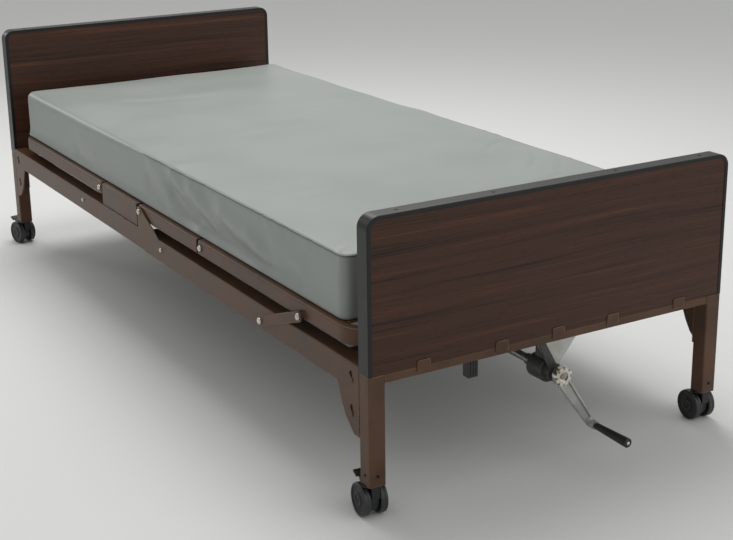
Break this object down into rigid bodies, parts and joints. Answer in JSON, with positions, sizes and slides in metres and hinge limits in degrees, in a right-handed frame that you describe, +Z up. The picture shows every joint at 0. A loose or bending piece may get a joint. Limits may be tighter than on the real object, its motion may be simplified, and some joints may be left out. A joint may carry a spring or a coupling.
{
  "type": "adjustable hospital bed",
  "caption": "Low adjustable care bed: laminate end boards, brown steel frame on twin-wheel casters, crank-driven telescoping legs, sectioned deck and vinyl mattress.",
  "frame": {"origin": "on the floor under the centre of the whole bed's bounding box", "axes": "+X to the right side seen from the foot end, +Y towards the head end along the bed, +Z up"},
  "size_m": [0.9498, 2.4168, 0.694],
  "materials": {
    "walnut_laminate": "satin",
    "black_edging": "satin",
    "black_screws": "satin",
    "brown_enamel": "satin",
    "bright_bolts": "gloss",
    "bare_steel": "satin",
    "zinc_plate": "satin",
    "dark_casting": "matte",
    "black_plastic": "satin",
    "actuator_plastic": "matte",
    "caster_rubber": "matte",
    "grey_vinyl": "satin"
  },
  "bodies": {
    "lift_legs": {"foot_left_inner_leg": "zinc_plate", "foot_right_inner_leg": "zinc_plate", "head_left_inner_leg": "zinc_plate", "head_right_inner_leg": "zinc_plate"},
    "bed_base": {"foot_board": "walnut_laminate", "head_board": "walnut_laminate", "foot_board_edging": "black_edging", "head_board_edging": "black_edging", "edging_screws": "black_screws", "crossbars": "brown_enamel", "board_clips": "brown_enamel", "foot_leg_tubes": "brown_enamel", "head_leg_tubes": "brown_enamel", "leg_glides": "black_plastic", "leg_rivets": "black_screws", "end_brackets": "brown_enamel", "foot_rails": "brown_enamel", "head_rails": "brown_enamel", "rail_splices": "brown_enamel", "cross_members": "brown_enamel", "rail_fasteners": "bright_bolts", "seat_frame": "brown_enamel", "seat_slats": "brown_enamel", "pivot_bolts": "bright_bolts", "back_actuator": "actuator_plastic", "knee_actuator": "actuator_plastic", "foot_gearbox": "dark_casting", "head_gearbox": "dark_casting", "gearbox_brackets": "zinc_plate", "gearbox_straps": "dark_casting", "bumper_block": "black_plastic", "mattress_seat": "grey_vinyl"},
    "back_section": {"back_frame": "brown_enamel", "back_slats": "brown_enamel", "mattress_back": "grey_vinyl"},
    "thigh_section": {"thigh_frame": "brown_enamel", "thigh_slats": "brown_enamel", "knee_bolts": "bright_bolts", "mattress_thigh": "grey_vinyl"},
    "calf_section": {"calf_frame": "brown_enamel", "calf_slats": "brown_enamel", "mattress_calf": "grey_vinyl"},
    "calf_struts": {"calf_links": "brown_enamel", "link_bolts": "bright_bolts"},
    "back_rod": {"back_push_rod": "bare_steel"},
    "knee_rod": {"knee_push_rod": "bare_steel"},
    "crank": {"drive_shaft": "bare_steel", "crank_hub": "zinc_plate", "crank_arm": "zinc_plate"},
    "grip": {"crank_grip": "black_plastic"},
    "foot_left_caster": {"foot_left_caster_yoke": "black_plastic"},
    "foot_left_wheels": {"foot_left_caster_wheels": "caster_rubber"},
    "foot_left_pedal": {"foot_left_brake_pedal": "black_plastic"},
    "foot_right_caster": {"foot_right_caster_yoke": "black_plastic"},
    "foot_right_wheels": {"foot_right_caster_wheels": "caster_rubber"},
    "head_left_caster": {"head_left_caster_yoke": "black_plastic"},
    "head_left_wheels": {"head_left_caster_wheels": "caster_rubber"},
    "head_left_pedal": {"head_left_brake_pedal": "black_plastic"},
    "head_right_caster": {"head_right_caster_yoke": "black_plastic"},
    "head_right_wheels": {"head_right_caster_wheels": "caster_rubber"}
  },
  "joints": [
    {"name": "hi_lo_lift", "type": "slide", "parent": "lift_legs", "child": "bed_base", "axis": [0, 0, 1], "range_m": [0, 0.2032]},
    {"name": "back_tilt", "type": "hinge", "parent": "bed_base", "child": "back_section", "pos_m": [0, 0.36657, 0.362], "axis": [1, 0, 0], "range_deg": [0, 65]},
    {"name": "back_rod_travel", "type": "slide", "parent": "bed_base", "child": "back_rod", "axis": [0, 1, 0], "range_m": [0, 0.14017]},
    {"name": "thigh_tilt", "type": "hinge", "parent": "bed_base", "child": "thigh_section", "pos_m": [0, 0.07157, 0.364], "axis": [-1, 0, 0], "range_deg": [0, 30]},
    {"name": "knee_rod_travel", "type": "slide", "parent": "bed_base", "child": "knee_rod", "axis": [0, -1, 0], "range_m": [0, 0.05896]},
    {"name": "calf_fold", "type": "hinge", "parent": "thigh_section", "child": "calf_section", "pos_m": [0, -0.29643, 0.362], "axis": [-1, 0, 0], "range_deg": [-41.45, 0]},
    {"name": "strut_swing", "type": "hinge", "parent": "bed_base", "child": "calf_struts", "pos_m": [0, -0.62243, 0.284], "axis": [-1, 0, 0], "range_deg": [0, 31.41]},
    {"name": "crank_turn", "type": "hinge", "parent": "bed_base", "child": "crank", "pos_m": [0, -1.07843, 0.218], "axis": [0, 1, 0], "range_deg": [0, 11631.04]},
    {"name": "grip_spin", "type": "hinge", "parent": "crank", "child": "grip", "pos_m": [0.091, -1.13843, 0.086], "axis": [0, 1, 0], "continuous": true},
    {"name": "foot_left_swivel", "type": "hinge", "parent": "lift_legs", "child": "foot_left_caster", "pos_m": [-0.438, -1.05943, 0.07], "axis": [0, 0, 1], "continuous": true},
    {"name": "foot_left_roll", "type": "hinge", "parent": "foot_left_caster", "child": "foot_left_wheels", "pos_m": [-0.43612, -1.04153, 0.035], "axis": [0.9945, -0.1045, 0], "continuous": true},
    {"name": "foot_left_pedal_press", "type": "hinge", "parent": "foot_left_caster", "child": "foot_left_pedal", "pos_m": [-0.43382, -1.01965, 0.057], "axis": [-0.9945, 0.1045, 0], "range_deg": [0, 12]},
    {"name": "foot_right_swivel", "type": "hinge", "parent": "lift_legs", "child": "foot_right_caster", "pos_m": [0.438, -1.05943, 0.07], "axis": [0, 0, 1], "continuous": true},
    {"name": "foot_right_roll", "type": "hinge", "parent": "foot_right_caster", "child": "foot_right_wheels", "pos_m": [0.43894, -1.04146, 0.035], "axis": [0.9986, -0.0523, 0], "continuous": true},
    {"name": "head_left_swivel", "type": "hinge", "parent": "lift_legs", "child": "head_left_caster", "pos_m": [-0.438, 1.13757, 0.07], "axis": [0, 0, 1], "continuous": true},
    {"name": "head_left_roll", "type": "hinge", "parent": "head_left_caster", "child": "head_left_wheels", "pos_m": [-0.44174, 1.15518, 0.035], "axis": [0.9781, 0.2079, 0], "continuous": true},
    {"name": "head_left_pedal_press", "type": "hinge", "parent": "head_left_caster", "child": "head_left_pedal", "pos_m": [-0.44632, 1.1767, 0.057], "axis": [-0.9781, -0.2079, 0], "range_deg": [0, 12]},
    {"name": "head_right_swivel", "type": "hinge", "parent": "lift_legs", "child": "head_right_caster", "pos_m": [0.438, 1.13757, 0.07], "axis": [0, 0, 1], "continuous": true},
    {"name": "head_right_roll", "type": "hinge", "parent": "head_right_caster", "child": "head_right_wheels", "pos_m": [0.44174, 1.15518, 0.035], "axis": [0.9781, -0.2079, 0], "continuous": true}
  ],
  "couplings": [
    {"joint": "hi_lo_lift", "follows": "crank_turn", "m_per_rad": 0.001},
    {"joint": "back_rod_travel", "follows": "back_tilt", "m_per_rad": 0.12354},
    {"joint": "knee_rod_travel", "follows": "thigh_tilt", "m_per_rad": 0.11258},
    {"joint": "calf_fold", "follows": "thigh_tilt", "ratio": -1.3815},
    {"joint": "strut_swing", "follows": "thigh_tilt", "ratio": 1.0466}
  ]
}
